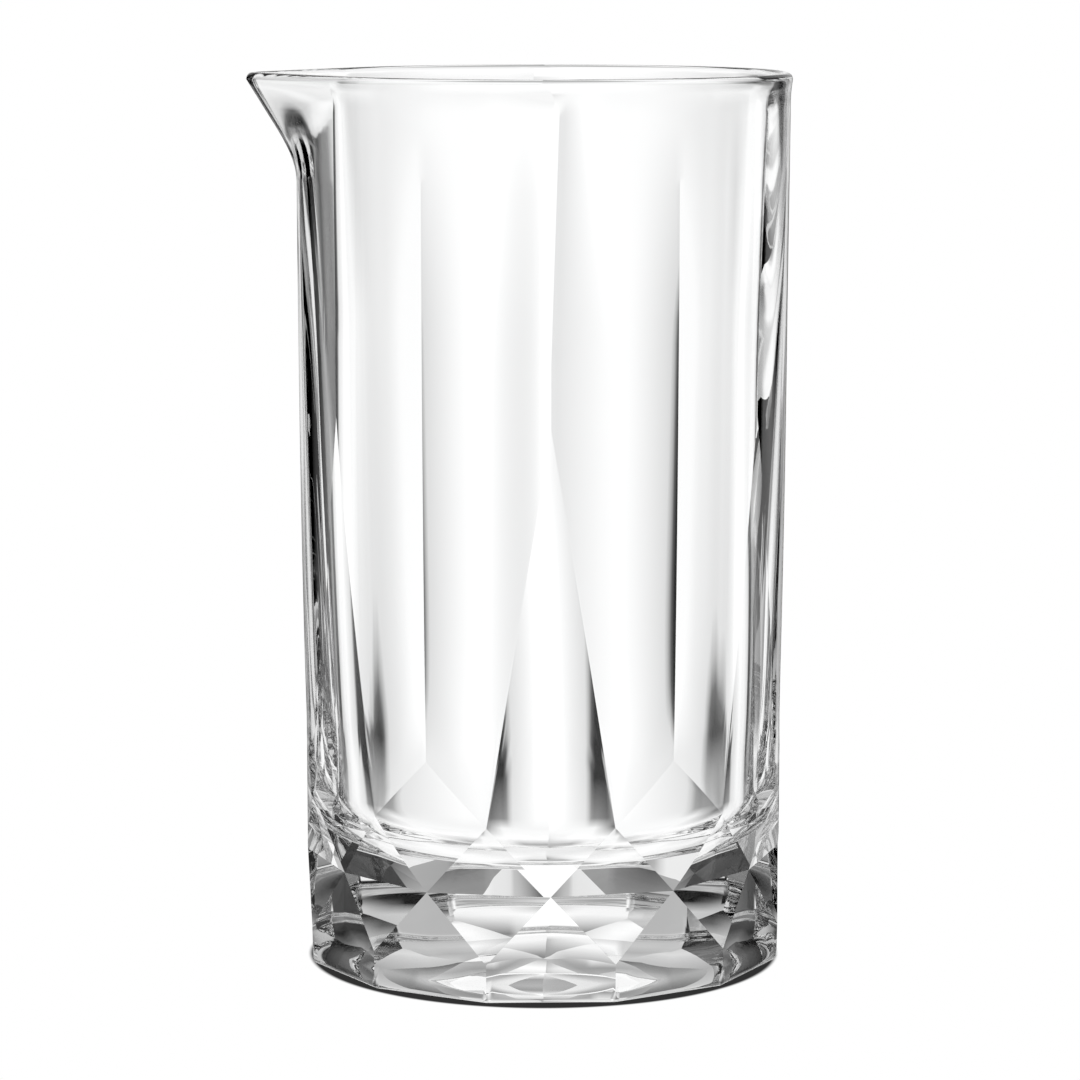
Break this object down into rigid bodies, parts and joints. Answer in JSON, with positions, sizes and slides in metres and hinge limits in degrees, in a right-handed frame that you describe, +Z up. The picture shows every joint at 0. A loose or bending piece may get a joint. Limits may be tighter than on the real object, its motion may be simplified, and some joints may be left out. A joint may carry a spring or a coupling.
{
  "type": "mixing glass",
  "caption": "Tall clear-glass stirring vessel with a faceted lower wall, a heavy base and a pulled pouring lip, for stirring drinks over ice and pouring them out.",
  "frame": {"origin": "on the glass's axis, in the resting plane under the base", "axes": "+Z up along the glass's axis, pouring lip towards -X, XZ is the mirror plane of the outline and facets"},
  "size_m": [0.0926, 0.0846, 0.152],
  "materials": {
    "clear_glass": "clear colourless soda-lime glass, fire-polished, smooth inside and out"
  },
  "bodies": {
    "root": {"mixing_glass": "clear_glass"}
  },
  "joints": []
}
